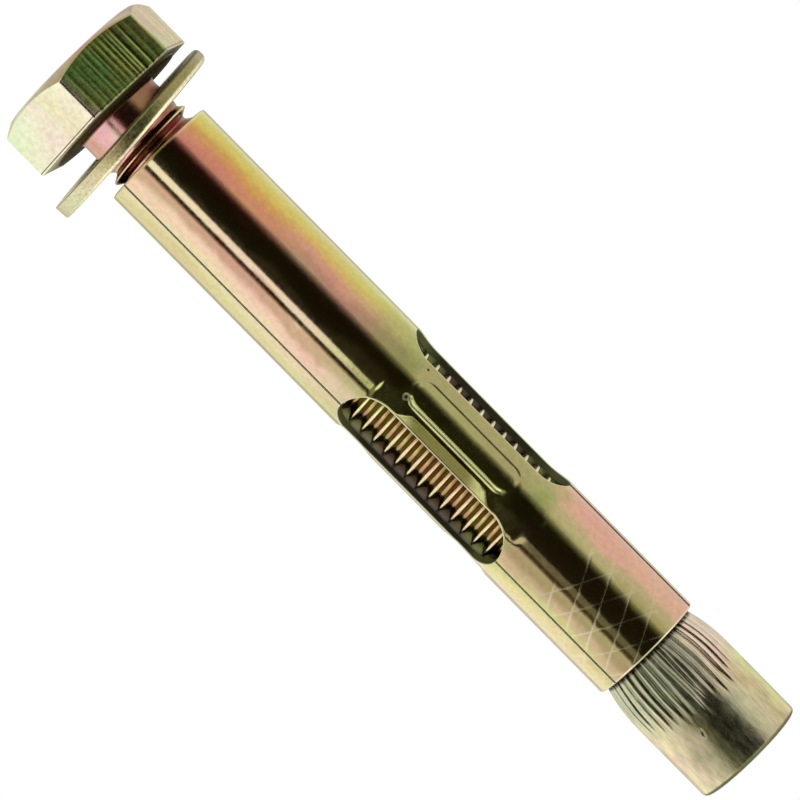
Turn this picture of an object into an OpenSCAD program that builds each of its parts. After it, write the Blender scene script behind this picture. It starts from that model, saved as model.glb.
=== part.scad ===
// Sleeve anchor: an M10 hex bolt in a rolled 12 mm sleeve, with a loose washer under its head
// and a ribbed expander nut at its far end. It stands on its head, and +Z runs from the head to
// the nut. The origin is the centre of the head's flat top face.

/* [Bolt] */
// Width of the hex head across its flats
head_af = 17; // [16:0.5:19]
// Height of the head, with the washer face under it
head_h = 6.1; // [5:0.1:8]
// Diameter of the flat circle that the chamfer leaves on the head
head_flat_d = 16; // [14:0.5:16.5]
// Slope of the head's chamfer, in degrees
head_chamfer = 30; // [15:1:35]
// Diameter of the raised washer face under the head
face_d = 15.2; // [13:0.1:16]
// Height of the raised washer face
face_h = 0.25; // [0.1:0.05:0.6]
// Diameter of the shank, which is the pitch diameter of the thread rolled on it
shank_d = 9.05; // [8.8:0.05:9.2]
// Radius between the shank and the head
head_fillet = 0.4; // [0.2:0.1:0.8]
// Chamfer at the bolt's far end
tip_chamfer = 1; // [0.4:0.1:1.5]
// How far the bolt's end lies inside the nut's end
tip_recess = 1; // [0.5:0.5:3]

/* [Washer] */
// Outside diameter of the washer
washer_od = 20.2; // [18:0.1:24]
// Diameter of the washer's hole
washer_id = 11; // [10.6:0.1:11.6]
// Thickness of the washer
washer_t = 1.5; // [1:0.1:2.5]
// Angle by which the loose washer leans, in degrees
washer_lean = 6.5; // [0:0.5:8]
// Direction in which the washer leans up, in degrees from +X
washer_lean_dir = -30; // [-180:1:180]
// How far the washer hangs off the bolt's axis
washer_shift = 0.45; // [0:0.05:0.5]
// Direction in which the washer hangs, in degrees from +X
washer_shift_dir = 19; // [-180:1:180]
// Gap between the head and the washer's nearest edge
washer_gap = 0.6; // [0.3:0.05:1.5]

/* [Sleeve] */
// Outside diameter of the sleeve, which is the diameter of its hole in the wall
sleeve_od = 12; // [11.8:0.1:12.4]
// Thickness of the sheet that the sleeve is rolled from
sleeve_wall = 0.8; // [0.7:0.05:0.9]
// Length of the sleeve
sleeve_len = 66; // [55:1:90]
// Gap between the washer and the sleeve
sleeve_gap = 1.7; // [1.2:0.1:4]
// Direction in which the sleeve's seam faces, in degrees from +X
seam_dir = -24; // [-180:1:180]
// Width of the open seam
seam_w = 0.3; // [0.15:0.05:0.6]
// Width of the two slits that let the sleeve open
slit_w = 0.9; // [0.5:0.1:1.5]
// Bevel on the sleeve's outside edges
sleeve_edge = 0.12; // [0.05:0.01:0.25]
// Bevel inside the sleeve's mouth, where the nut enters
mouth_bevel = 0.35; // [0.2:0.05:0.5]

/* [Windows] */
// Length of a window
window_len = 20.7; // [14:0.1:24]
// Distance from the sleeve's head end to the windows
window_start = 29.1; // [15:0.1:30]
// Width of the window on the seam
seam_window_w = 6.7; // [4:0.1:7]
// Width of the other two windows
side_window_w = 5.8; // [4:0.1:6.5]
// Angle from the seam to the other two windows, in degrees
window_spread = 124; // [118:1:126]

/* [Coined grooves on the webs] */
// Length of the ring that each groove forms
coin_len = 14; // [8:0.5:18]
// Width of the ring that each groove forms
coin_w = 3.3; // [2:0.1:4]
// Width of the groove itself
coin_groove_w = 0.5; // [0.3:0.05:0.8]
// Depth of the groove
coin_depth = 0.15; // [0.05:0.05:0.3]

/* [Expander nut] */
// Diameter of the nut's full body
nut_d = 11.9; // [11.6:0.1:12]
// Length of the nut that stands out of the sleeve
nut_out = 14.1; // [10:0.1:18]
// Length of the nut's nose inside the sleeve
nut_nose = 2; // [1:0.5:4]
// Length of the taper from the sleeve's end to the full body
taper_len = 4.8; // [3:0.1:7]
// Radius of the edge at the nut's end
nut_round = 0.5; // [0.3:0.1:1.4]
// Number of grooves pressed along the taper
rib_n = 40; // [24:2:44]
// Width of a groove at its mouth
rib_groove_w = 0.5; // [0.3:0.05:0.5]
// Depth of the grooves where the taper leaves the sleeve
rib_depth = 0.3; // [0.15:0.05:0.3]
// Distance from the sleeve's end at which the grooves have run out
rib_fade = 9.6; // [7:0.1:9.8]

/* [Fits] */
// Radial clearance between the bolt and the nut's bore
bolt_clear = 0.05; // [0.02:0.01:0.08]
// Radial clearance between the nut's nose and the sleeve
nose_clear = 0.1; // [0.05:0.01:0.1]

/* [Hidden] */
$fn = 96;
// Overlap of a cutter past the surface that it cuts
over = 1;

// The stack from the head up
washer_reach = washer_od / 2 * sin(washer_lean) + washer_t / 2 * cos(washer_lean);
washer_z = head_h + washer_gap + washer_reach;
washer_top = washer_z + (sleeve_od / 2 + washer_shift) * sin(washer_lean)
    + washer_t / 2 / cos(washer_lean);
sleeve_z = washer_top + sleeve_gap;
sleeve_end = sleeve_z + sleeve_len;
nut_end = sleeve_end + nut_out;
bolt_end = nut_end - tip_recess;

// The sleeve's bore, and what runs in it
sleeve_id = sleeve_od - 2 * sleeve_wall;
nose_d = sleeve_id - 2 * nose_clear;
bore_d = shank_d + 2 * bolt_clear;

// The windows and the webs between them
window_z = sleeve_z + window_start;
window_mid = window_z + window_len / 2;
seam_half = asin(seam_window_w / sleeve_od);
side_half = asin(side_window_w / sleeve_od);
web_angle = (seam_half + window_spread - side_half) / 2;

// The taper is an arc that runs out tangent to the nut's full body
taper_from = sleeve_end - mouth_bevel;
taper_rise = taper_len + mouth_bevel;
taper_drop = (nut_d - nose_d) / 2;
taper_r = (taper_rise * taper_rise + taper_drop * taper_drop) / (2 * taper_drop);
taper_steps = 6;
round_steps = 5;

// Radius of the taper's surface at a height above its start
function taper_at(h) = nut_d / 2 - taper_r + sqrt(taper_r * taper_r - pow(taper_rise - h, 2));

// An upright slot with round ends, drawn about its centre
module slot(len, w) {
    square([w, len - w], center = true);
    for (end = [-1, 1]) translate([0, end * (len - w) / 2]) circle(d = w);
}

// A slot cut outwards from the axis through the wall that faces dir
module slot_cut(dir, z, len, w) {
    translate([0, 0, z]) rotate([90, 0, dir + 90]) linear_extrude(sleeve_od / 2 + over)
        slot(len, w);
}

// A narrow cut outwards from the axis, from z1 up to z2
module slit_cut(dir, z1, z2, w) {
    rotate(dir) translate([0, -w / 2, z1]) cube([sleeve_od / 2 + over, w, z2 - z1]);
}

module hex_head() {
    hex_r = head_af / 2 / cos(30);
    rise = (hex_r + over - head_flat_d / 2) * tan(head_chamfer);
    intersection() {
        cylinder(r = hex_r, h = head_h - face_h, $fn = 6);
        rotate_extrude() polygon([
            [0, 0], [head_flat_d / 2, 0], [hex_r + over, rise],
            [hex_r + over, head_h], [0, head_h]
        ]);
    }
}

// The shank, with its washer face, its fillet under the head and its chamfered end
module shank() {
    r = shank_d / 2;
    rotate_extrude() difference() {
        polygon([
            [0, head_h - face_h - over], [face_d / 2, head_h - face_h - over],
            [face_d / 2, head_h], [r + head_fillet, head_h], [r + head_fillet, head_h + head_fillet],
            [r, head_h + head_fillet], [r, bolt_end - tip_chamfer],
            [r - tip_chamfer, bolt_end], [0, bolt_end]
        ]);
        translate([r + head_fillet, head_h + head_fillet]) circle(r = head_fillet);
    }
}

module hex_bolt() {
    color("darkkhaki") union() {
        hex_head();
        shank();
    }
}

module washer() {
    color("olivedrab")
        translate([washer_shift * cos(washer_shift_dir), washer_shift * sin(washer_shift_dir), washer_z])
        rotate(washer_lean_dir) rotate([0, -washer_lean, 0])
        difference() {
            cylinder(d = washer_od, h = washer_t, center = true);
            cylinder(d = washer_id, h = washer_t + 2 * over, center = true);
        }
}

// The rolled tube before its windows are cut, bevelled at its edges
module rolled_tube() {
    ro = sleeve_od / 2;
    ri = sleeve_id / 2;
    rotate_extrude() polygon([
        [ri, sleeve_z], [ro - sleeve_edge, sleeve_z], [ro, sleeve_z + sleeve_edge],
        [ro, sleeve_end - sleeve_edge], [ro - sleeve_edge, sleeve_end],
        [ri + mouth_bevel, sleeve_end], [ri, sleeve_end - mouth_bevel]
    ]);
}

// The groove coined round the middle of the web that faces dir
module coin_groove(dir) {
    intersection() {
        difference() {
            slot_cut(dir, window_mid, coin_len, coin_w);
            slot_cut(dir, window_mid, coin_len - 2 * coin_groove_w, coin_w - 2 * coin_groove_w);
        }
        translate([0, 0, window_z]) difference() {
            cylinder(d = sleeve_od + over, h = window_len);
            translate([0, 0, -over]) cylinder(d = sleeve_od - 2 * coin_depth, h = window_len + 2 * over);
        }
    }
}

// A window in the wall that faces dir, with the slit that runs through or out of it
module window_cut(dir, w, slit_from, slit) {
    union() {
        slot_cut(dir, window_mid, window_len, w);
        slit_cut(dir, slit_from, sleeve_end + over, slit);
    }
}

module sleeve() {
    color("khaki") difference() {
        rolled_tube();
        window_cut(seam_dir, seam_window_w, sleeve_z - over, seam_w);
        for (side = [-1, 1])
            window_cut(seam_dir + side * window_spread, side_window_w, window_mid, slit_w);
        for (dir = [-web_angle, web_angle, 180]) coin_groove(seam_dir + dir);
    }
}

// The nut before its ribs: a straight nose, an arched taper, a full body and a rounded end
module nut_blank() {
    rotate_extrude() polygon(concat(
        [[0, sleeve_end - nut_nose], [nose_d / 2, sleeve_end - nut_nose]],
        [for (i = [0:taper_steps]) let (h = taper_rise * i / taper_steps)
            [taper_at(h), taper_from + h]],
        [for (i = [0:round_steps]) let (a = 90 * i / round_steps)
            [nut_d / 2 - nut_round + nut_round * cos(a), nut_end - nut_round + nut_round * sin(a)]],
        [[0, nut_end]]
    ));
}

// What the grooves leave uncut: it lies under the taper, and comes out through the body where
// they run out
module nut_core() {
    root_r = taper_at(mouth_bevel) - rib_depth;
    mid_r = nut_d / 2 - rib_depth;
    rotate_extrude() polygon([
        [0, sleeve_end - nut_nose - over], [root_r - rib_depth, sleeve_end - nut_nose - over],
        [root_r, sleeve_end], [mid_r, sleeve_end + taper_len],
        [nut_d / 2, sleeve_end + rib_fade], [nut_d / 2 + rib_depth, nut_end + over],
        [0, nut_end + over]
    ]);
}

// One pressed groove, wider at its mouth than at its root
module rib_groove() {
    translate([0, 0, sleeve_end - mouth_bevel]) linear_extrude(rib_fade + mouth_bevel) polygon([
        [nut_d / 4, -rib_groove_w / 8], [nut_d / 2 + rib_groove_w, -rib_groove_w],
        [nut_d / 2 + rib_groove_w, rib_groove_w], [nut_d / 4, rib_groove_w / 8]
    ]);
}

module expander_nut() {
    color("darkseagreen") difference() {
        nut_blank();
        difference() {
            for (i = [0:rib_n - 1]) rotate(i * 360 / rib_n) rib_groove();
            nut_core();
        }
        translate([0, 0, sleeve_end - nut_nose - over])
            cylinder(d = bore_d, h = nut_nose + nut_out + 2 * over);
    }
}

hex_bolt();
washer();
sleeve();
expander_nut();
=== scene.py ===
import math
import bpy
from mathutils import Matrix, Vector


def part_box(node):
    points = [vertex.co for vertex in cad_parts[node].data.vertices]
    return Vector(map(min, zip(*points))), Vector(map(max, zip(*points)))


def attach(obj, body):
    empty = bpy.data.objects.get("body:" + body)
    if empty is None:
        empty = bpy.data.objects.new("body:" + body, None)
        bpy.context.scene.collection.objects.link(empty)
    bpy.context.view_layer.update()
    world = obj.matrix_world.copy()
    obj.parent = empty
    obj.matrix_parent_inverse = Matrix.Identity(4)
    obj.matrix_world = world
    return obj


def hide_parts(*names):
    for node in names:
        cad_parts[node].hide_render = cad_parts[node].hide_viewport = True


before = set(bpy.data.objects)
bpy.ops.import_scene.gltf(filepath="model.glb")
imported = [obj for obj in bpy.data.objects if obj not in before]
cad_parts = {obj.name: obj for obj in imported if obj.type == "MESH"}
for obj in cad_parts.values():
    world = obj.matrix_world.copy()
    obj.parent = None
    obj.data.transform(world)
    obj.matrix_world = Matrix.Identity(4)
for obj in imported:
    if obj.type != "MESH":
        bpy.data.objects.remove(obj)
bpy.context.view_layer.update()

from types import SimpleNamespace

import bmesh
import bpy
import numpy as np
from mathutils import Matrix, Vector

# Lengths below are millimetres and angles degrees. Meshes are made in millimetres, and solid()
# turns them into metres. Heights and outer sizes come from the frame.
MM = 0.001


def corners_mm(node):
    """Lowest and highest corner of a CAD node, in millimetres."""
    low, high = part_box(node)
    return np.array(low) / MM, np.array(high) / MM


washer_low, washer_high = corners_mm("washer")
sleeve_low, sleeve_high = corners_mm("sleeve")
nut_low, nut_high = corners_mm("expander_nut")

# The hex bolt
HEAD_AF = 17.0
HEAD_TOP = 6.1
WASHER_FACE_D = 15.2
WASHER_FACE_H = 0.25
HEAD_FLAT_D = 16.0
HEAD_CHAMFER = 30.0
HEAD_CORNER_R = 0.15
# The head's edges are softened over this width, and its flats stand in a little for their marks
HEAD_EDGE = 0.12
FLAT_INSET = 0.02
# The lines that trimming leaves along the flats: where they end, and their least and greatest
# gap, half width and depth. Some are deeper.
TRIM_SEED = 41
TRIM_REACH = 4.6
TRIM_GAP = (0.35, 0.95)
TRIM_W = (0.13, 0.28)
TRIM_DEPTH = (0.008, 0.018)
TRIM_DEEPER = 0.02
TRIM_DEEPER_SHARE = 0.3
TRIM_FADE = 3.0
SHANK_D = 9.05
HEAD_FILLET = 0.4
BOLT_END = corners_mm("hex_bolt")[1][2]
TIP_CHAMFER = 1.0
THREAD_PITCH = 1.5
THREAD_CREST_D = 9.9
THREAD_ROOT_D = 8.3
THREAD_PHASE = 0.45
THREAD_FROM = 9.3
THREAD_FULL = 10.4

# The washer
WASHER_OD = 20.2
WASHER_ID = 11.0
WASHER_T = 1.5
WASHER_LEAN = 6.5
WASHER_LEAN_DIR = -30.0
WASHER_SHIFT = 0.45
WASHER_SHIFT_DIR = 19.0
WASHER_COLUMNS = 240
# The punch rolled the rim over, most of all at this angle from the side shown
RIM_ROLL_SIDE = 80.0
RIM_SEED = 70
RIM_WEAR = 0.03
BORE_EDGE_HIGH = 0.15
BORE_EDGE_LOW = 0.08

# The sleeve
SLEEVE_R = 6.0
SLEEVE_WALL = 0.8
SLEEVE_FROM = sleeve_low[2]
SLEEVE_END = sleeve_high[2]
SEAM_DIR = -24.0
SEAM_W = 0.16
SLIT_W = 0.9
WINDOW_FROM = SLEEVE_FROM + 29.1
WINDOW_LEN = 20.7
WINDOW_MID = WINDOW_FROM + WINDOW_LEN / 2
SEAM_WINDOW_W = 6.7
SIDE_WINDOW_W = 5.8
WINDOW_SPREAD = 124.0
# The ring pressed into each web, turned a little towards the side windows
RING_LEN = 13.5
RING_W = 2.84
RING_GROOVE_W = 0.76
RING_DEPTH = 0.15
RING_TURN = 0.23
# A dimple that the tool left at one end of each ring
DIMPLE_OFF = 1.15
DIMPLE_BELOW = 6.6
DIMPLE_R = 0.45
DIMPLE_DEPTH = 0.07
MOUTH_BEVEL = 0.35
END_BEVEL = 0.12
# The soft edge of each cut: distances from it, what the sheet drops there and how far it is rubbed
EDGE_STEPS = np.array([0, 0.03, 0.08, 0.15, 0.26])
EDGE_DROP = np.array([0.12, 0.055, 0.02, 0.004, 0])
EDGE_RUB = np.array([0.8, 1.0, 0.9, 0.3, 0])
EDGE_LIP = 0.07
THINNEST_CUT = 0.08
# The facet that is rolled round the seam window's edge
ROLL_REACH = 1.34
ROLL_HALF_LEN = 7.0
ROLL_SLOPE = 0.159
ROLL_CURVE = 0.077
# The valleys beside the facet's ends: their depth, where they start, lie deepest and stop round
# the sleeve from the seam, and where they run out along it on either side of the window's middle
VALLEY = 0.18
VALLEY_FROM = 2.9
VALLEY_AT = 4.35
VALLEY_TO = 6.8
VALLEY_LOW_END = (8.7, 9.5)
VALLEY_HIGH_END = (9.9, 10.9)
# The sheet bows in along the windows, and the webs beside the seam window lie lower still
BOW = 0.03
WEB_SINK = 0.06
SINK_LOW_END = (-9.0, -5.6)
SINK_HIGH_END = (6.6, 10.0)
# The knurl's lines cross at this height and run in two families round the sleeve
KNURL_CROSSING = 68.63
KNURL_PITCH = 2.64
KNURL_COUNT = 7
KNURL_STEPS = 24
KNURL_W = 0.22
KNURL_DEPTH = 0.012
TOOL_MARK_DIR = 52.6
TOOL_MARK_R = 0.34
# The web shown above the seam window was squeezed towards it by this much
SQUEEZE = 0.14
SQUEEZE_END = (7.8, 9.4)
PIT_SIDE = 39.4
PIT_HEIGHT = 44.3

# The expander nut
NUT_R = 5.95
NUT_END = nut_high[2]
NUT_FROM = nut_low[2]
NUT_NOSE_R = 5.1
NUT_ROUND = 0.5
TAPER_LEN = 4.8
# How far the nut's thread stands off the bolt's, and how far its mouths are opened
CREST_PLAY = 0.08
ROOT_PLAY = 0.05
MOUTH_OPENING = 0.16
RIB_COUNT = 40
RIB_SEED = 11
RIB_DEPTH = 0.3
RIB_REACH = 9.6
# A slanting nick in the nut's plain part
NICK_SIDE = -17.7
NICK_HEIGHT = 86.7
NICK_R = 0.6
NICK_DEPTH = 0.09

# Edges sharper than this are left sharp in shading
SHARP_ANGLE = 50.0

# The side that the photograph shows. A place on the object is then given by its angle round
# the bolt from that side, positive towards the upper right of the picture.
SHOWN_AZIMUTH = 18.65


def polar(side_angle):
    """Polar angle about +Z of the place at that angle from the side shown."""
    return SHOWN_AZIMUTH - 90.0 - side_angle


def about_zero(angle):
    """The same angle, from -180 to 180 degrees."""
    return np.mod(angle + 180, 360) - 180


def all_round(columns):
    """Polar angles of columns spread evenly round the axis."""
    return np.arange(columns) * 360 / columns


def quarter_round(steps):
    """What a round edge of radius 1 leaves out across and along, step by step."""
    return [(1 - math.cos(turn), 1 - math.sin(turn)) for turn in np.radians(np.linspace(0, 90, steps))]


def mound(distance):
    """1 at no distance, falling smoothly to 0 at a distance of 1."""
    return np.cos(np.clip(distance, 0, 1) * np.pi / 2) ** 2


def new_object(name, data):
    """A new object in the scene with its mesh, lamp or camera."""
    thing = bpy.data.objects.new(name, data)
    bpy.context.scene.collection.objects.link(thing)
    return thing


def solid(name, skin, body, node, material):
    """A closed mesh piece from a skin in millimetres, riding on a body in place of its node. The
    skin's marks say where the plate is rubbed, from 0 to 1."""
    mesh = bpy.data.meshes.new(name)
    mesh.from_pydata((skin.all_points() * MM).tolist(), [], skin.faces)
    mesh.attributes.new("rubbed", "FLOAT", "POINT").data.foreach_set("value", np.concatenate(skin.marks))
    shape = bmesh.new()
    shape.from_mesh(mesh)
    bmesh.ops.remove_doubles(shape, verts=shape.verts, dist=1e-7)
    bmesh.ops.dissolve_degenerate(shape, edges=shape.edges, dist=1e-8)
    bmesh.ops.recalc_face_normals(shape, faces=shape.faces)
    shape.to_mesh(mesh)
    shape.free()
    mesh.shade_smooth()
    mesh.set_sharp_from_angle(angle=math.radians(SHARP_ANGLE))
    mesh.materials.append(material)
    piece = new_object(name, mesh)
    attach(piece, body)
    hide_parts(node)
    return piece


class Skin:
    """Points and faces of one mesh, gathered ring by ring and strip by strip."""

    def __init__(self):
        self.points = []
        self.marks = []
        self.faces = []
        self.count = 0

    def add(self, points, rubbed=0.0):
        """Takes an array of points and returns their numbers in the same layout."""
        shape = points.shape[:-1]
        numbers = np.arange(self.count, self.count + int(np.prod(shape))).reshape(shape)
        self.points.append(points.reshape(-1, 3))
        self.marks.append(np.broadcast_to(rubbed, shape).astype(float).ravel())
        self.count += numbers.size
        return numbers

    def quads(self, numbers):
        """Quads between neighbouring rows and columns of numbers."""
        a, b = numbers[:-1, :-1], numbers[:-1, 1:]
        c, d = numbers[1:, 1:], numbers[1:, :-1]
        self.faces += np.stack([a, b, c, d], -1).reshape(-1, 4).tolist()

    def creased_quads(self, numbers, depth):
        """As quads, but each is split along the diagonal that lies deeper, so creases stay whole."""
        a, b = numbers[:-1, :-1], numbers[:-1, 1:]
        c, d = numbers[1:, 1:], numbers[1:, :-1]
        along = (depth[:-1, :-1] + depth[1:, 1:] >= depth[:-1, 1:] + depth[1:, :-1])[..., None]
        first = np.where(along, np.stack([a, b, c], -1), np.stack([a, b, d], -1))
        second = np.where(along, np.stack([a, c, d], -1), np.stack([b, c, d], -1))
        self.faces += np.concatenate([first, second]).reshape(-1, 3).tolist()

    def tube(self, numbers):
        """Quads of rows that close on themselves."""
        self.quads(np.concatenate([numbers, numbers[:, :1]], 1))

    def bridge(self, fine, coarse):
        """Faces from a closed fine ring to a closed coarse ring with a whole share of its points."""
        share = len(fine) // len(coarse)
        fine, coarse = list(fine), list(coarse)
        for i, first in enumerate(coarse):
            after = coarse[(i + 1) % len(coarse)]
            arc = [fine[(i * share + k) % len(fine)] for k in range(share + 1)]
            self.faces.append([after, first] + arc)

    def cap(self, ring):
        """One flat face that closes a ring."""
        self.faces.append(list(ring))

    def all_points(self):
        return np.concatenate(self.points)


def turned(radius, angle, height):
    """Points at a radius, a polar angle and a height."""
    radius, angle, height = np.broadcast_arrays(radius, np.radians(angle), height)
    return np.stack([radius * np.cos(angle), radius * np.sin(angle), height], -1)


def smooth(low, high, value):
    """0 up to low, 1 from high on, and a smooth step between."""
    t = np.clip((value - low) / (high - low), 0, 1)
    return t * t * (3 - 2 * t)


def wander(seed, angle, octaves):
    """A smooth random curve round the axis, from -1 to 1."""
    rng = np.random.default_rng(seed)
    total = 0
    for octave in range(octaves):
        waves = 2 ** (octave + 1)
        for k in range(1, waves + 1):
            turns = 2 * np.pi * angle * k / 360
            total = total + np.cos(turns + rng.uniform(0, 2 * np.pi)) * rng.uniform(0.4, 1) / waves
    return total / octaves


# Thread

THREAD_COLUMNS = 96
THREAD_SHAPE = [
    (-0.11, 0.96), (-0.05, 1.0), (0.05, 1.0), (0.11, 0.96), (0.34, 0.46), (0.56, 0.06),
    (0.66, 0.0), (0.84, 0.0), (0.94, 0.06), (1.16, 0.46),
]


def thread_rows(low, high, root_r, crest_r, limit):
    """Points of a helical thread between two heights, each row of them one line along the helix.
    limit gives the radius from a plain radius and a height, for run-outs and chamfers."""
    angle = all_round(THREAD_COLUMNS)
    first = math.floor((low - THREAD_PHASE) / THREAD_PITCH) - 2
    last = math.ceil((high - THREAD_PHASE) / THREAD_PITCH) + 1
    offset = np.array([o for o, _ in THREAD_SHAPE])
    depth = np.array([d for _, d in THREAD_SHAPE])
    turns = np.repeat(np.arange(first, last + 1), len(THREAD_SHAPE))
    along = THREAD_PHASE + turns * THREAD_PITCH + np.tile(offset, last - first + 1)
    radius = np.tile(root_r + (crest_r - root_r) * depth, last - first + 1)
    height = np.clip(along[:, None] + THREAD_PITCH * angle / 360, low, high)
    return turned(limit(radius[:, None], height), angle, height)


def wrap_thread(skin, numbers):
    """Quads of the thread, whose last column meets its first one turn further on."""
    step = len(THREAD_SHAPE)
    rows = np.minimum(np.arange(len(numbers)) + step, len(numbers) - 1)
    skin.quads(np.concatenate([numbers, numbers[rows, :1]], 1))


# Hex bolt

FLAT_COLUMNS = 96
HEAD_COLUMNS = 6 * FLAT_COLUMNS


def hex_outline():
    """Angle and radius of the hexagon with slightly rounded corners, two flats facing +Y and -Y."""
    inner = HEAD_AF / 2 - HEAD_CORNER_R
    angle = all_round(HEAD_COLUMNS)
    off = np.radians(np.mod(angle, 60) - 30)
    corner = inner / math.cos(math.radians(30))
    flat = (HEAD_AF / 2) / np.cos(off)
    turn = np.radians(np.minimum(np.mod(angle, 60), 60 - np.mod(angle, 60)))
    reach = corner * np.cos(turn) + np.sqrt(HEAD_CORNER_R**2 - (corner * np.sin(turn)) ** 2 + 0j).real
    inside = corner * np.sin(turn) < HEAD_CORNER_R * math.sin(math.radians(30))
    return angle, np.where(inside, np.minimum(reach, flat), flat), off


def shear_marks(angle, off):
    """Depth of the lines that trimming leaves along the flats, in millimetres."""
    across = HEAD_AF / 2 * np.tan(off)
    side = np.floor(angle / 60)
    depth = np.zeros_like(across)
    rng = np.random.default_rng(TRIM_SEED)
    for k in range(6):
        place = -TRIM_REACH
        while place < TRIM_REACH:
            place += rng.uniform(*TRIM_GAP)
            width = rng.uniform(*TRIM_W)
            deep = rng.uniform(*TRIM_DEPTH) + TRIM_DEEPER * (rng.uniform() < TRIM_DEEPER_SHARE)
            notch = deep * np.clip(1 - np.abs(across - place) / width, 0, 1)
            depth = np.where(side == k, np.maximum(depth, notch), depth)
    return depth * smooth(0.0, TRIM_FADE, 30 - np.degrees(np.abs(off)))


def build_bolt(material):
    skin = Skin()
    angle, reach, off = hex_outline()
    side_top = HEAD_TOP - WASHER_FACE_H
    slope = math.tan(math.radians(HEAD_CHAMFER))
    flat_r = HEAD_FLAT_D / 2
    edge = HEAD_EDGE
    marks = shear_marks(angle, off)
    rise = (reach - flat_r) * slope
    # From the flat top face over the chamfer to the flats
    rows = [(flat_r - 0.3, 0.0), (flat_r - edge, 0.0), (flat_r + edge, edge * slope * 0.8)]
    head = [turned(r, angle, z) for r, z in rows]
    head.append(turned(flat_r + (reach - flat_r) * 0.6, angle, rise * 0.6))
    head.append(turned(np.maximum(reach - edge, flat_r + 2 * edge), angle,
                       np.maximum(reach - edge - flat_r, 2 * edge) * slope))
    head.append(turned(reach - FLAT_INSET, angle, rise + 0.3 * edge))
    for share in np.linspace(0, 1, 9):
        z = rise + edge + (side_top - edge - rise - edge) * share
        wave = 1 + 0.35 * np.cos(2.5 * share + 9 * off)
        line = marks * wave * smooth(-0.05, 0.12, share)
        head.append(turned(reach - FLAT_INSET - line, angle, z))
    # Over the burr at the flats' lower edge to the washer face
    burr = len(head)
    head.append(turned(reach - 0.05, angle, side_top - 0.04))
    head.append(turned(reach - 0.16, angle, side_top))
    face_r = WASHER_FACE_D / 2
    for r, z in [(face_r + 0.06, side_top), (face_r, side_top + 0.05), (face_r - 0.03, HEAD_TOP - 0.05),
                 (face_r - 0.12, HEAD_TOP), (6.4, HEAD_TOP)]:
        head.append(turned(r, angle, z))
    rubbed = np.zeros((len(head), 1))
    rubbed[burr:burr + 2] = 0.7
    numbers = skin.add(np.stack(head), rubbed)
    skin.tube(numbers)
    skin.cap(numbers[0][::-1])
    around = all_round(THREAD_COLUMNS)
    shank_r = SHANK_D / 2
    rows = [(shank_r + HEAD_FILLET + 0.4, HEAD_TOP)]
    rows += [(shank_r + HEAD_FILLET * b, HEAD_TOP + HEAD_FILLET * a) for a, b in quarter_round(6)]
    shank = skin.add(np.stack([turned(r, around, z) for r, z in rows]))
    skin.tube(shank)
    skin.bridge(numbers[-1], shank[0])

    def limit(radius, height):
        full = smooth(THREAD_FROM, THREAD_FULL, height)
        tip = shank_r - TIP_CHAMFER + (BOLT_END - height)
        return np.minimum(shank_r + (radius - shank_r) * full, tip)

    thread = skin.add(thread_rows(THREAD_FROM, BOLT_END, THREAD_ROOT_D / 2, THREAD_CREST_D / 2, limit))
    wrap_thread(skin, thread)
    skin.tube(np.stack([shank[-1], thread[0]]))
    skin.cap(thread[-1])
    return solid("hex_bolt_dressed", skin, "bolt", "hex_bolt", material)


# Washer


def build_washer(material):
    skin = Skin()
    around = all_round(WASHER_COLUMNS)
    out_r, in_r, half = WASHER_OD / 2, WASHER_ID / 2, WASHER_T / 2
    away = np.radians(around + WASHER_LEAN_DIR - polar(RIM_ROLL_SIDE))
    roll = (0.5 + 0.5 * np.cos(away)) ** 1.3
    wear = RIM_WEAR * wander(RIM_SEED, around, 5)
    # How far the rim's round edges reach inwards and along the washer's thickness
    inset_high = 0.16 + 0.44 * roll + wear
    drop_high = 0.24 + 0.5 * roll + wear
    inset_low = 0.07 + 0.4 * roll
    drop_low = 0.09 + 0.5 * roll - wear
    rows = [(out_r - inset_high * a, half - drop_high * b) for a, b in quarter_round(9)]
    rows += [(r, half) for r in (out_r - 1.2, out_r - 2.4, in_r + 0.9)]
    rows += [(in_r + BORE_EDGE_HIGH * b, half - BORE_EDGE_HIGH * a) for a, b in quarter_round(4)]
    rows += [(in_r + BORE_EDGE_LOW * a, -half + BORE_EDGE_LOW * b) for a, b in quarter_round(4)]
    rows += [(r, -half) for r in (in_r + 0.9, out_r - 2.4, out_r - 1.2)]
    rows += [(out_r - inset_low * b, -half + drop_low * a) for a, b in quarter_round(8)]
    numbers = skin.add(np.stack([turned(r, around, z) for r, z in rows]))
    skin.tube(np.concatenate([numbers, numbers[:1]]))
    towards = Matrix.Rotation(math.radians(WASHER_LEAN_DIR), 3, "Z")
    lean = towards @ Matrix.Rotation(math.radians(-WASHER_LEAN), 3, "Y")
    shift = math.radians(WASHER_SHIFT_DIR)
    centre = np.array([WASHER_SHIFT * math.cos(shift), WASHER_SHIFT * math.sin(shift),
                       (washer_low[2] + washer_high[2]) / 2])
    skin.points = [skin.all_points() @ np.array(lean).T + centre]
    return solid("washer_dressed", skin, "washer", "washer", material)


# Sleeve


def slot_half_width(height, width):
    """Half the width of a window with round ends at each height."""
    past = np.abs(height - WINDOW_MID) - (WINDOW_LEN - width) / 2
    return np.sqrt(np.clip((width / 2) ** 2 - np.clip(past, 0, None) ** 2, 0, None))


def slot_distance(across, height, length, width):
    """How far a place lies outside an upright slot with round ends."""
    past = np.clip(np.abs(height - WINDOW_MID) - (length - width) / 2, 0, None)
    return np.hypot(across, past) - width / 2


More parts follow.
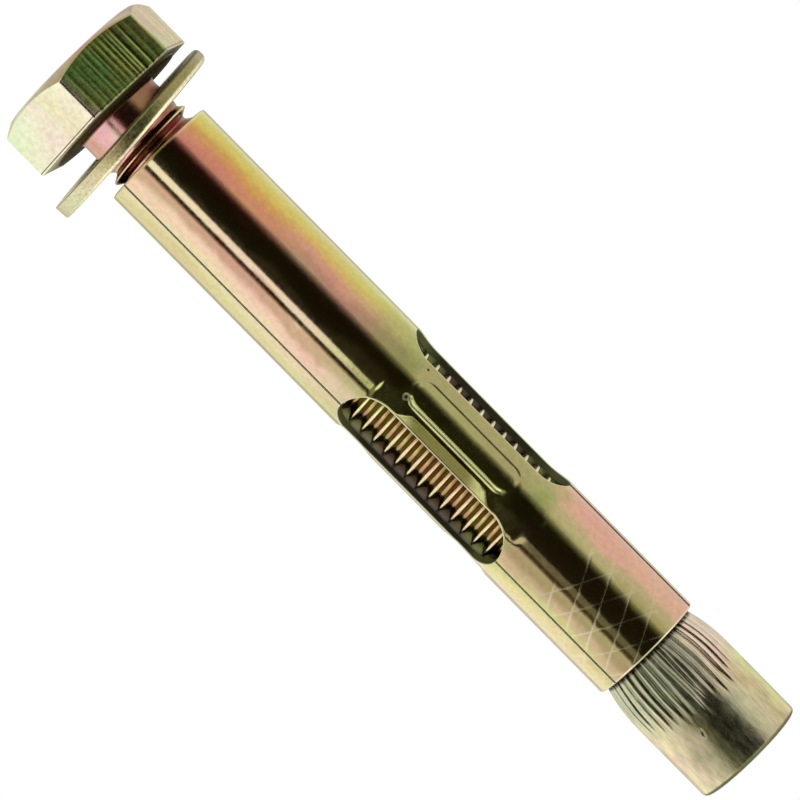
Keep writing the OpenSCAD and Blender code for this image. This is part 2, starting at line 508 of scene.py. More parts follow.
def sleeve_heights():
    """Heights of the sleeve's rows: close together at its ends, round the windows and in the knurl."""
    tip = SEAM_WINDOW_W / 2
    arc = tip * (1 - np.cos(np.radians(np.linspace(0, 90, 15))))
    ring_end = RING_LEN / 2 + RING_GROOVE_W
    rows = [SLEEVE_FROM + np.array([0, 0.04, END_BEVEL, 0.4]),
            np.arange(SLEEVE_FROM + 1.2, WINDOW_FROM - 1.2, 1.3),
            WINDOW_FROM - np.array([0.9, 0.5, 0.2]),
            WINDOW_FROM + arc,
            WINDOW_MID - np.arange(ring_end - 2.4, ring_end, 0.14),
            WINDOW_MID + np.linspace(-ring_end + 2.6, ring_end - 2.6, 12),
            WINDOW_MID + np.arange(ring_end - 2.4, ring_end, 0.14),
            WINDOW_MID - np.linspace(*VALLEY_LOW_END, 8),
            WINDOW_MID + np.linspace(*VALLEY_HIGH_END, 9),
            WINDOW_FROM + WINDOW_LEN - arc,
            WINDOW_FROM + WINDOW_LEN + np.array([0.2, 0.5, 0.9]),
            np.arange(WINDOW_FROM + WINDOW_LEN + 1.8, knurl_rows()[0] - 0.3, 1.0),
            knurl_rows(),
            SLEEVE_END - np.array([MOUTH_BEVEL, 0.25, END_BEVEL, 0.04, 0])]
    return np.unique(np.round(np.concatenate(rows), 4))


def knurl_rows():
    """Heights of the rows in the knurl, spaced so that its lines run through the grid's corners."""
    return KNURL_CROSSING + np.arange(-18, 81) * KNURL_PITCH / KNURL_STEPS


def knurl_columns(start, stop):
    """Angles of the columns between two angles, spaced for the knurl in the same way."""
    step = 360 / (KNURL_COUNT * KNURL_STEPS)
    first = math.ceil((start - polar(0)) / step + 0.2)
    last = math.floor((stop - polar(0)) / step - 0.2)
    return polar(0) + np.arange(first, last + 1) * step


def knurl_depth(angle, height):
    """Share of the knurl's full depth: two families of helical lines that cross in diamonds."""
    turns = (angle - polar(0)) * KNURL_COUNT / 360
    rise = (height - KNURL_CROSSING) / KNURL_PITCH
    lean = math.atan2(2 * math.pi * SLEEVE_R / KNURL_COUNT, KNURL_PITCH)
    line_gap = KNURL_PITCH * math.sin(lean)
    depth = np.zeros_like(angle)
    for sign in (-1, 1):
        place = turns * sign + rise
        number = np.round(place)
        off = np.abs(place - number) * line_gap
        # Each line is pressed a little harder or more lightly than the next
        strength = 0.74 - 0.14 * sign + 0.12 * np.cos(number * 2.4 + sign + angle * 0.05)
        depth = np.maximum(depth, strength * np.clip(1 - off / (KNURL_W / 2), 0, 1))
    # The rolls hardly touched the tube on one side, and pressed less at its back
    side = about_zero(polar(0) - angle)
    depth = depth * (1 - 0.85 * smooth(16, 34, side) * (1 - smooth(100, 140, side)))
    depth = depth * (1 - 0.4 * smooth(80, 130, np.abs(side)))
    start = knurl_rows()[0]
    return depth * smooth(start - 0.1, start + 0.8, height) * (height < knurl_rows()[-1] + 0.01)


def sleeve_radius(angle, height, windows):
    """Radius of the sleeve's outside, with everything that is pressed into it."""
    drop = BOW * np.clip(1 - ((height - WINDOW_MID) / (WINDOW_LEN / 2)) ** 2, 0, None)
    # The seam window's edge is rolled in, so a flat facet runs round it
    across = np.abs(np.radians(about_zero(angle - SEAM_DIR))) * SLEEVE_R
    gap = np.clip(slot_distance(across, height, WINDOW_LEN, SEAM_WINDOW_W), 0, None)
    near = np.clip(ROLL_REACH - gap, 0, None)
    past = np.abs(height - WINDOW_MID)
    rolled = 1 - smooth(-0.9, 0.2, past - ROLL_HALF_LEN + np.clip(gap, 0, ROLL_REACH))
    drop = drop + near * (ROLL_SLOPE - ROLL_CURVE * near) * rolled
    # Round the window's ends the sheet has sprung up again, with a shallow valley on either side
    down = np.clip((across - VALLEY_FROM) / (VALLEY_AT - VALLEY_FROM), 0, 1)
    valley = np.where(across < VALLEY_AT, 1 - (1 - down) ** 2, 1 - smooth(VALLEY_AT, VALLEY_TO, across))
    past_end = np.where(height < WINDOW_MID, smooth(*VALLEY_LOW_END, past), smooth(*VALLEY_HIGH_END, past))
    drop = drop + VALLEY * valley * (1 - rolled) * (1 - past_end)
    # The webs beside it lie a little lower than the rest of the tube
    sunk = smooth(*SINK_LOW_END, height - WINDOW_MID) * (1 - smooth(*SINK_HIGH_END, height - WINDOW_MID))
    drop = drop + WEB_SINK * sunk * (1 - smooth(1.5, 4.0, gap))
    drop = drop + rings(angle, height, windows)[0]
    return SLEEVE_R - drop - KNURL_DEPTH * knurl_depth(angle, height)


def rings(angle, height, windows):
    """Depth of the ring pressed into each web, and how far it is rubbed. Each is pressed hardest
    on the side of the seam, and the far side of it hardly shows."""
    depth, rubbed = np.zeros_like(angle), np.zeros_like(angle)
    for i, seam_side in enumerate((-1, 0, 1)):
        (left, left_w), (right, right_w) = windows[i], windows[i + 1]
        half_left = math.degrees(math.asin(left_w / 2 / SLEEVE_R))
        half_right = math.degrees(math.asin(right_w / 2 / SLEEVE_R))
        web = (left + half_left + right - half_right) / 2
        web = web + RING_TURN * seam_side
        across = np.radians(about_zero(angle - web)) * SLEEVE_R
        beside = 0.5 + 0.5 * np.tanh(across * seam_side * 3)
        end = smooth(RING_LEN / 2 - 0.8, RING_LEN / 2 - 0.1, np.abs(height - WINDOW_MID))
        groove = np.abs(slot_distance(across, height, RING_LEN, RING_W)) / (RING_GROOVE_W / 2)
        groove = mound(groove) * (1 - 0.75 * end)
        depth = depth + RING_DEPTH * (0.5 + 0.46 * beside) * groove
        rubbed = np.maximum(rubbed, 0.9 * groove * beside * abs(seam_side))
        mark = np.hypot(across - seam_side * DIMPLE_OFF, height - WINDOW_MID + DIMPLE_BELOW)
        depth = depth + DIMPLE_DEPTH * abs(seam_side) * mound(mark / DIMPLE_R)
    return depth, rubbed


def build_sleeve(material):
    skin = Skin()
    heights = sleeve_heights()
    windows = [(SEAM_DIR, SEAM_WINDOW_W), (SEAM_DIR + WINDOW_SPREAD, SIDE_WINDOW_W),
               (SEAM_DIR + 360 - WINDOW_SPREAD, SIDE_WINDOW_W), (SEAM_DIR + 360, SEAM_WINDOW_W)]
    cuts = []
    for i, (place, width) in enumerate(windows):
        slit = SEAM_W if i in (0, 3) else np.where(heights > WINDOW_MID, SLIT_W, 0)
        half = slot_half_width(heights, width)
        if i == 3:
            half = half - SQUEEZE * (1 - smooth(*SQUEEZE_END, np.abs(heights - WINDOW_MID)))
        half = np.maximum(half, slit / 2)
        cuts.append((place, half, np.degrees(np.arcsin(half / SLEEVE_R))))
    inner_r = SLEEVE_R - SLEEVE_WALL
    steps = len(EDGE_STEPS)
    for (left, left_half, left_turn), (right, right_half, right_turn) in zip(cuts[:-1], cuts[1:]):
        start, stop = left + left_turn, right - right_turn
        inset = np.degrees(EDGE_STEPS / SLEEVE_R)
        low, high = (start + inset[-1])[:, None], (stop - inset[-1])[:, None]
        columns = knurl_columns(low[-1, 0], high[-1, 0])
        middle = (columns - low[-1]) / (high[-1] - low[-1])
        angle = np.concatenate([start[:, None] + inset, low + (high - low) * middle,
                                stop[:, None] - inset[::-1]], 1)
        height = np.broadcast_to(heights[:, None], angle.shape)
        radius = sleeve_radius(angle, height, windows)
        # Where a slit has closed, its edges are no longer there
        left_cut = np.clip(left_half / THINNEST_CUT, 0, 1)[:, None]
        right_cut = np.clip(right_half / THINNEST_CUT, 0, 1)[:, None]
        radius[:, :steps] -= EDGE_DROP * left_cut
        radius[:, -steps:] -= EDGE_DROP[::-1] * right_cut
        end_gap = np.minimum(heights - SLEEVE_FROM, SLEEVE_END - heights)[:, None]
        end_drop = np.clip(END_BEVEL - end_gap, 0, None) ** 1.5 / END_BEVEL**0.5
        radius = np.minimum(radius, SLEEVE_R - end_drop)
        rubbed = np.maximum(0.9 * knurl_depth(angle, height), rings(angle, height, windows)[1])
        rubbed = np.maximum(rubbed, (end_gap < END_BEVEL + 0.01) * 0.8)
        rubbed[:, :steps] = np.maximum(rubbed[:, :steps], EDGE_RUB * left_cut)
        rubbed[:, -steps:] = np.maximum(rubbed[:, -steps:], EDGE_RUB[::-1] * right_cut)
        outside = skin.add(turned(radius, angle, height), rubbed)
        knurled = np.searchsorted(heights, knurl_rows()[0] - 0.01)
        skin.quads(outside[:knurled + 1])
        skin.creased_quads(outside[knurled:], knurl_depth(angle, height)[knurled:])
        last = angle.shape[1] - 1
        picks = sorted({*range(0, last, 8), last})
        bevel = np.clip(heights - (SLEEVE_END - MOUTH_BEVEL), 0, None)[:, None]
        inside = skin.add(turned(inner_r + bevel, angle[:, picks], height[:, picks]))
        skin.quads(inside)
        for row in (0, -1):
            for k, (a, b) in enumerate(zip(picks[:-1], picks[1:])):
                skin.faces.append([inside[row][k + 1], inside[row][k]] + list(outside[row][a:b + 1]))
        for column, half in ((0, left_half), (-1, right_half)):
            open_rows = np.flatnonzero(half > 1e-9)
            first = max(open_rows[0] - 1, 0)
            lip_r = radius[first:, column] - EDGE_LIP
            lip = skin.add(turned(lip_r, angle[first:, column], height[first:, column]))
            skin.quads(np.stack([outside[first:, column], lip, inside[first:, column]], 1))
    return solid("sleeve_dressed", skin, "sleeve", "sleeve", material)


# Expander nut

NUT_COLUMNS = 640


def nut_profile():
    """Radius and height down the outside of the nut, from its nose to its end face."""
    taper_from = SLEEVE_END - MOUTH_BEVEL
    rise, drop = TAPER_LEN + MOUTH_BEVEL, NUT_R - NUT_NOSE_R
    arc_r = (rise**2 + drop**2) / (2 * drop)
    rows = [(NUT_NOSE_R - 0.3, NUT_FROM), (NUT_NOSE_R, NUT_FROM + 0.3), (NUT_NOSE_R, taper_from - 0.3)]
    for h in np.linspace(0, rise, 22):
        rows.append((NUT_R - arc_r + math.sqrt(arc_r**2 - (rise - h) ** 2), taper_from + h))
    rows += [(NUT_R, z) for z in np.linspace(SLEEVE_END + TAPER_LEN, NUT_END - NUT_ROUND, 48)[1:]]
    rows += [(NUT_R - NUT_ROUND * a, NUT_END - NUT_ROUND * b) for a, b in quarter_round(9)[1:]]
    return np.array(rows)


def rib_depth(angle, height):
    """Depth of the pressed grooves, each a little off its place, its width and its length, and
    how bright their lips are rubbed."""
    rng = np.random.default_rng(RIB_SEED)
    depth, lips = np.zeros_like(angle), np.zeros_like(angle)
    pitch = 360 / RIB_COUNT
    from_sleeve = height - SLEEVE_END
    for i in range(RIB_COUNT):
        place = polar(-0.7) + i * pitch + rng.uniform(-1.4, 1.4)
        lean = rng.uniform(-0.12, 0.12) * from_sleeve
        waver = 0.5 * np.sin(from_sleeve * rng.uniform(0.5, 1.1) + rng.uniform(0, 6))
        away = about_zero(angle - place - lean - waver)
        width = pitch * rng.uniform(0.28, 0.4)
        longer = 0.93 + 0.07 * np.cos(np.radians(place - polar(-30)))
        reach = RIB_REACH * rng.uniform(0.8, 1.0) * longer
        deep = RIB_DEPTH * rng.uniform(0.5, 0.95)
        fade = 1 - smooth(reach * 0.55, reach, from_sleeve)
        depth = np.maximum(depth, deep * mound(np.abs(away / width)) * fade)
        lip = np.clip(1 - np.abs(np.abs(away) - width * 1.05) / (width * 0.5), 0, 1)
        bright = rng.uniform(0.7, 1.2) * np.where(away > 0, 0.4, 1.0)
        lips = np.maximum(lips, lip * fade * bright)
    lips = np.clip(lips, 0, 1) * smooth(-0.3, 0.6, from_sleeve)
    return depth * smooth(-0.6, 0.5, from_sleeve), lips


def build_nut(material):
    skin = Skin()
    profile = nut_profile()
    height, angle = np.broadcast_arrays(profile[:, 1:], all_round(NUT_COLUMNS)[None, :])
    depth, lips = rib_depth(angle, height)
    # The nick slants and has a rubbed lip on its lower side
    across = np.radians(about_zero(angle - polar(NICK_SIDE))) * NUT_R
    along = height - NICK_HEIGHT
    mark = np.hypot((across - 0.2 * along) * 2.2, along)
    depth = depth + NICK_DEPTH * mound(mark / NICK_R)
    lip = np.clip(1 - np.abs(mark - 0.55) / 0.3, 0, 1) * smooth(-0.1, 0.2, across)
    lips = np.maximum(lips, lip)
    numbers = skin.add(turned(profile[:, :1] - depth, angle, height), lips)
    skin.tube(numbers)
    inner = all_round(THREAD_COLUMNS)
    crest_r = THREAD_ROOT_D / 2 + CREST_PLAY
    root_r = THREAD_CREST_D / 2 + ROOT_PLAY
    low, high = NUT_FROM + 0.02, NUT_END - 0.02

    def limit(radius, height):
        start = root_r + 0.12 - (height - low)
        stop = root_r + 0.12 - (high - height)
        return np.maximum(np.maximum(radius, start), stop)

    thread = skin.add(thread_rows(low, high, crest_r, root_r, limit))
    wrap_thread(skin, thread)
    mouth_r = root_r + MOUTH_OPENING
    ends = skin.add(np.stack([turned(mouth_r, inner, NUT_FROM), turned(mouth_r, inner, NUT_END)]))
    skin.tube(np.stack([ends[0], thread[0]]))
    skin.tube(np.stack([thread[-1], ends[1]]))
    skin.bridge(numbers[0], ends[0])
    skin.bridge(numbers[-1], ends[1])
    return solid("expander_nut_dressed", skin, "expander", "expander_nut", material)


# Materials


def colour(hex_code):
    """Linear RGBA from an sRGB hex value."""
    channels = [int(hex_code[i:i + 2], 16) / 255 for i in (1, 3, 5)]
    return [c / 12.92 if c <= 0.04045 else ((c + 0.055) / 1.055) ** 2.4 for c in channels] + [1]


def add(tree, kind, inputs=None, stops=None, **settings):
    """Adds a node with its settings, its inputs as values, hex colours or links, and a ramp's
    stops. A link comes from a socket, or from a node's first output."""
    node = tree.nodes.new(kind)
    for name, value in settings.items():
        setattr(node, name, value)
    for name, value in (inputs or {}).items():
        if isinstance(value, str):
            value = colour(value)
        if isinstance(value, bpy.types.Node):
            value = value.outputs[0]
        if isinstance(value, bpy.types.NodeSocket):
            tree.links.new(value, node.inputs[name])
        else:
            node.inputs[name].default_value = value
    if stops:
        ramp = node.color_ramp.elements
        while len(ramp) < len(stops):
            ramp.new(1.0)
        for element, (place, tone) in zip(ramp, stops):
            element.position = place
            element.color = colour(tone)
    return node


def new_material(name):
    material = bpy.data.materials.new(name)
    material.use_nodes = True
    tree = material.node_tree
    tree.nodes.clear()
    return material, tree


def surface_places(tree, wander_mm, wander_turn):
    """Where a point of the surface lies: its coordinates, its share of a turn round the bolt, its
    height, its distance from the axis, and how far it faces outwards and upwards. The share is
    bent by a slow noise, because a passivation film wanders."""
    surface = add(tree, "ShaderNodeTexCoord").outputs
    place = surface["Object"]
    parts = add(tree, "ShaderNodeSeparateXYZ", {0: place})
    angle = add(tree, "ShaderNodeMath", {0: parts.outputs[1], 1: parts}, operation="ARCTAN2")
    noise = add(tree, "ShaderNodeTexNoise", {"Vector": place, "Scale": 1 / (wander_mm * MM), "Detail": 3.0})
    bend = add(tree, "ShaderNodeMapRange", {"Value": noise, "From Min": 0.2, "From Max": 0.8,
                                           "To Min": 0.5 - wander_turn, "To Max": 0.5 + wander_turn})
    turn = add(tree, "ShaderNodeMath", {0: angle, 1: 1 / (2 * math.pi), 2: bend}, operation="MULTIPLY_ADD")
    share = add(tree, "ShaderNodeMath", {0: turn}, operation="FRACT")
    flat = add(tree, "ShaderNodeVectorMath", {0: place, 1: (1, 1, 0)}, operation="MULTIPLY")
    radius = add(tree, "ShaderNodeVectorMath", {0: flat}, operation="LENGTH")
    out = add(tree, "ShaderNodeVectorMath", {0: flat}, operation="NORMALIZE")
    outward = add(tree, "ShaderNodeVectorMath", {0: surface["Normal"], 1: out}, operation="DOT_PRODUCT")
    upward = add(tree, "ShaderNodeSeparateXYZ", {0: surface["Normal"]})
    return SimpleNamespace(tree=tree, place=place, share=share, height=parts.outputs[2],
                           radius=radius.outputs["Value"], outward=outward.outputs["Value"],
                           upward=upward.outputs[2])


def film_round(spot, tones):
    """A film colour round the bolt, from pairs of an angle from the side shown and a colour."""
    stops = sorted(((polar(angle) / 360 + 0.5) % 1, tone) for angle, tone in tones)
    stops = [(0.0, stops[-1][1])] + stops + [(1.0, stops[-1][1])]
    ramp = add(spot.tree, "ShaderNodeValToRGB", {0: spot.share}, stops)
    ramp.color_ramp.interpolation = "EASE"
    return ramp


def blend_over(tree, value, low, high, first, second):
    """Goes from a first colour to a second one while a value rises from low to high."""
    step = add(tree, "ShaderNodeMapRange", {"Value": value, "From Min": low, "From Max": high},
               interpolation_type="SMOOTHSTEP")
    mixed = add(tree, "ShaderNodeMix", {"Factor": step, "A": first, "B": second}, data_type="RGBA")
    return mixed.outputs["Result"]


def hairlines(tree, place, share_kept):
    """Fine sparse scratches, drawn out along the bolt: 0.3 on a scratch and 0 elsewhere."""
    along = add(tree, "ShaderNodeMapping", {"Vector": place, "Scale": (1, 1, 0.2)})
    noise = add(tree, "ShaderNodeTexNoise", {"Vector": along, "Scale": 1 / (2.0 * MM),
                                             "Detail": 1.0, "Distortion": 0.4})
    off = add(tree, "ShaderNodeMath", {0: noise, 1: -0.5}, operation="ADD")
    off = add(tree, "ShaderNodeMath", {0: off}, operation="ABSOLUTE")
    line = add(tree, "ShaderNodeMapRange", {"Value": off, "From Min": 0.002, "From Max": 0.006,
                                           "To Min": 0.3, "To Max": 0.0})
    kept = add(tree, "ShaderNodeTexNoise", {"Vector": place, "Scale": 1 / (1.6 * MM), "Detail": 1.0})
    kept = add(tree, "ShaderNodeMapRange", {"Value": kept, "From Min": 1 - share_kept,
                                           "From Max": 1.08 - share_kept})
    return add(tree, "ShaderNodeMath", {0: line, 1: kept}, operation="MULTIPLY")


def near_point(tree, place, angle, radius, height, low, high):
    """1 within a low distance of a point on the surface, falling to 0 at a high one."""
    point = turned(radius * MM, angle, height * MM).tolist()
    away = add(tree, "ShaderNodeVectorMath", {0: place, 1: point}, operation="DISTANCE")
    return add(tree, "ShaderNodeMapRange", {"Value": away.outputs["Value"], "From Min": low * MM,
                                            "From Max": high * MM, "To Min": 1.0, "To Max": 0.0})


def finish_zinc(material, spot, tone, roughness, grain_mm, relief, drift, drawn, mottle,
                streak=1.0, scratched=0.0, marked=None, dull=0.0):
    """Lays a film colour on zinc plate. The tint drifts between pink and green in patches, drawn
    out along the bolt, and the plate's grain mottles its brightness, gloss and relief. Where the
    plate is rubbed, marked or scratched it is pale and matt, and where it is dull the film is so
    thick that it hardly shines."""
    tree, place = spot.tree, spot.place
    along = add(tree, "ShaderNodeMapping", {"Vector": place, "Scale": (1, 1, drawn)})
    patches = add(tree, "ShaderNodeTexNoise", {"Vector": along, "Scale": 1 / (PATCH_MM * MM),
                                               "Detail": 2.0})
    hue = add(tree, "ShaderNodeMapRange", {"Value": patches, "From Min": NOISE_LOW, "From Max": NOISE_HIGH,
                                          "To Min": 0.5 - drift, "To Max": 0.5 + drift})
    streaks = add(tree, "ShaderNodeMapping", {"Vector": place, "Scale": (1, 1, streak)})
    grain = add(tree, "ShaderNodeTexNoise", {"Vector": streaks, "Scale": 1 / (grain_mm * MM),
                                             "Detail": 4.0})
    value = add(tree, "ShaderNodeMapRange", {"Value": grain, "From Min": NOISE_LOW, "From Max": NOISE_HIGH,
                                            "To Min": 1 - mottle, "To Max": 1 + mottle})
    film = add(tree, "ShaderNodeHueSaturation", {"Color": tone, "Hue": hue, "Value": value})
    rubbed = add(tree, "ShaderNodeAttribute", attribute_name="rubbed").outputs["Fac"]
    if scratched:
        lines = hairlines(tree, place, scratched)
        rubbed = add(tree, "ShaderNodeMath", {0: rubbed, 1: lines}, operation="MAXIMUM")
    if marked:
        rubbed = add(tree, "ShaderNodeMath", {0: rubbed, 1: marked}, operation="MAXIMUM")
    worn = add(tree, "ShaderNodeMath", {0: rubbed, 1: 0.6}, operation="MULTIPLY")
    film = add(tree, "ShaderNodeMix", {"Factor": worn, "A": film, "B": RUBBED}, data_type="RGBA")
    rough = add(tree, "ShaderNodeMapRange", {"Value": grain, "From Min": NOISE_LOW, "From Max": NOISE_HIGH,
                                            "To Min": roughness * 0.8, "To Max": roughness * 1.25})
    rough = add(tree, "ShaderNodeMath", {0: rubbed, 1: 0.25, 2: rough}, operation="MULTIPLY_ADD")
    rough = add(tree, "ShaderNodeMath", {0: dull, 1: 0.35, 2: rough}, operation="MULTIPLY_ADD")
    shine = add(tree, "ShaderNodeMath", {0: dull, 1: -0.8, 2: 1.0}, operation="MULTIPLY_ADD")
    bump = add(tree, "ShaderNodeBump", {"Height": grain, "Strength": relief, "Distance": GRAIN_RELIEF * MM})
    metal = add(tree, "ShaderNodeBsdfPrincipled", {
        "Base Color": film.outputs["Result"], "Metallic": shine, "Roughness": rough,
        "Specular IOR Level": 0.1, "Normal": bump})
    add(tree, "ShaderNodeOutputMaterial", {"Surface": metal})
    return material


# The plate's own pattern: size of the film's patches, and relief of the grain
PATCH_MM = 3.0
GRAIN_RELIEF = 0.02
# A noise hardly ever leaves this range
NOISE_LOW = 0.3
NOISE_HIGH = 0.7

# Interference colours of a yellow passivation film on zinc
STRAW = "#d0c988"
PALE_STRAW = "#e8da9e"
CREAM = "#f0deb2"
BLUSH = "#f2cdb2"
BISQUE = "#f0dcb4"
DULL_STRAW = "#dace92"
GOLD = "#cfb35e"
AMBER = "#ca9758"
SALMON = "#c68a68"
ROSE = "#b87466"
PINK = "#ecbcb6"
TAN = "#d4aa8b"
KHAKI = "#b6a678"
OLIVE = "#989058"
SAGE = "#a49e68"
LEAF = "#959a5c"
FERN = "#888e54"
MOSS = "#b8be6a"
LIME = "#ccd474"
# Bare zinc where the film is rubbed thin
RUBBED = "#f2ead0"
# Tones of the same film painted as shade inside the sleeve, on its cut faces, on the thread's flanks, under
# the head, at the burr, on the washer's rim, in the joint with the sleeve and over the nut's end; a painted
# highlight on the washer's rim; and a brown pit
INSIDE_SHADE_OLIVE = "#888c3c"
INSIDE_SHADE_BROWN = "#5a3f0c"
CUT_SHADE_GREEN = "#585c34"
CUT_SHADE_BROWN = "#30311c"
SHADED_BROWN = "#84733c"
FLANK_RED = "#a4745c"
UNDER_HEAD_SHADE = "#564c30"
BURR_SHADE_LINE = "#6a6040"
BURR_SHADE = "#4a3a24"
RIM_SHADE = "#504a2e"
RIM_HIGHLIGHT = "#e4dcb8"
JOINT_SHADE = "#33301f"
END_SHADE_OLIVE = "#6a6c44"
PIT_BROWN = "#3c3420"


def sleeve_zinc():
    """Bright zinc on rolled sheet with a yellow chromate film: near mirror, so it shows the studio
    as bands along the sleeve, tinted pink, gold and green where the film's thickness differs. The
    inside and the cut edges are dull, and painted in shade."""
    material, tree = new_material("yellow_passivated_zinc_on_rolled_sheet")
    spot = surface_places(tree, 8.0, 0.03)
    lower_side = [
        (11, "#9a7a54"), (3, OLIVE), (-4, BISQUE), (-13, BISQUE), (-18, TAN), (-25, "#cba686"),
        (-34, BLUSH), (-50, "#e8d8aa"), (-62, DULL_STRAW), (-110, GOLD), (-140, SALMON), (-170, ROSE),
        (-200, KHAKI), (-240, GOLD)]
    head_end = film_round(spot, [
        (75, STRAW), (56, GOLD), (44, AMBER), (32, SALMON), (20, ROSE)] + lower_side)
    gilded = film_round(spot, [
        (75, STRAW), (57, "#ccbc66"), (46, "#d0ac68"), (37, "#ca9c78"), (28, "#b0896e"),
        (20, "#ac8e70")] + lower_side)
    patch = film_round(spot, [
        (75, STRAW), (54, "#aaa66a"), (44, "#a3a468"), (36, LEAF), (28, FERN), (6, OLIVE), (-3, "#dce094"),
        (-13, "#dede8c"), (-22, "#b4b67a"), (-37, "#d2c89c"), (-54, "#d4c898"), (-78, STRAW),
        (-120, KHAKI), (-160, MOSS), (-200, GOLD), (-240, STRAW)])
    middle, middle_ends = [film_round(spot, [
        (75, STRAW), (54, KHAKI), (40, SAGE), (20, SAGE), (4, LIME), (0, LIME), (-5, facet), (-14, facet),
        (-22, KHAKI), (-36, CREAM), (-60, PALE_STRAW), (-78, STRAW), (-120, KHAKI), (-160, MOSS),
        (-200, GOLD), (-240, STRAW)]) for facet in ("#8a8848", "#dce094")]
    nut_end = film_round(spot, [
        (75, TAN), (46, TAN), (34, KHAKI), (18, OLIVE), (-10, KHAKI), (-24, "#a8946a"), (-36, "#ccb48c"),
        (-46, STRAW), (-60, PALE_STRAW), (-78, CREAM), (-110, TAN), (-150, KHAKI), (-190, ROSE),
        (-230, GOLD)])
    # The films meet in slow steps along the sleeve, at a height that a noise makes uneven
    noise = add(tree, "ShaderNodeTexNoise", {"Vector": spot.place, "Scale": 1 / (5 * MM), "Detail": 2.0})
    reach = add(tree, "ShaderNodeMath", {0: noise, 1: 8 * MM, 2: spot.height}, operation="MULTIPLY_ADD")
    film = head_end
    for low, high, after in ((26, 34, gilded), (36.5, 48, patch), (46.8, 48.8, middle_ends),
                             (48.8, 51, middle), (56.6, 59, middle_ends), (60.5, 63, patch),
                             (63, 66.2, nut_end)):
        film = blend_over(tree, reach, low * MM, high * MM, film, after)
    # The inside and the cut edges get a painted shade, browner in the middle of the windows
    inside = blend_over(tree, reach, 47.5 * MM, 51 * MM, INSIDE_SHADE_OLIVE, INSIDE_SHADE_BROWN)
    inside = blend_over(tree, reach, 61 * MM, 63.5 * MM, inside, INSIDE_SHADE_OLIVE)
    edge = blend_over(tree, reach, 45 * MM, 49 * MM, CUT_SHADE_GREEN, CUT_SHADE_BROWN)
    edge = blend_over(tree, reach, 61.5 * MM, 64.5 * MM, edge, CUT_SHADE_GREEN)
    film = blend_over(tree, spot.outward, 0.15, 0.5, edge, film)
    film = blend_over(tree, spot.outward, -0.6, -0.3, inside, film)
    cut = add(tree, "ShaderNodeMapRange", {"Value": spot.outward, "From Min": 0.15, "From Max": 0.5,
                                           "To Min": 1.0, "To Max": 0.0})
    dull = add(tree, "ShaderNodeMapRange", {"Value": spot.outward, "From Min": -0.6, "From Max": -0.3,
                                            "To Min": 0.5, "To Max": 1.0})
    dull = add(tree, "ShaderNodeMath", {0: dull, 1: cut}, operation="MULTIPLY")
    # The tool's round dimple has a rubbed rim and a dark middle, and a pit stands near it
    mark = (tree, spot.place, SEAM_DIR - TOOL_MARK_DIR, SLEEVE_R, WINDOW_MID - DIMPLE_BELOW)
    hollow = near_point(*mark, TOOL_MARK_R - 0.12, TOOL_MARK_R - 0.04)
    rim = near_point(*mark, TOOL_MARK_R + 0.06, TOOL_MARK_R + 0.14)
    rim = add(tree, "ShaderNodeMath", {0: rim, 1: hollow}, operation="SUBTRACT")
    pit = near_point(tree, spot.place, polar(PIT_SIDE), SLEEVE_R, PIT_HEIGHT, 0.08, 0.2)
    film = blend_over(tree, pit, 0.0, 1.0, film, PIT_BROWN)
    return finish_zinc(material, spot, film, roughness=0.105, grain_mm=0.5, relief=0.14,
                       drift=0.022, drawn=0.2, mottle=0.075, scratched=0.4, marked=rim, dull=dull)


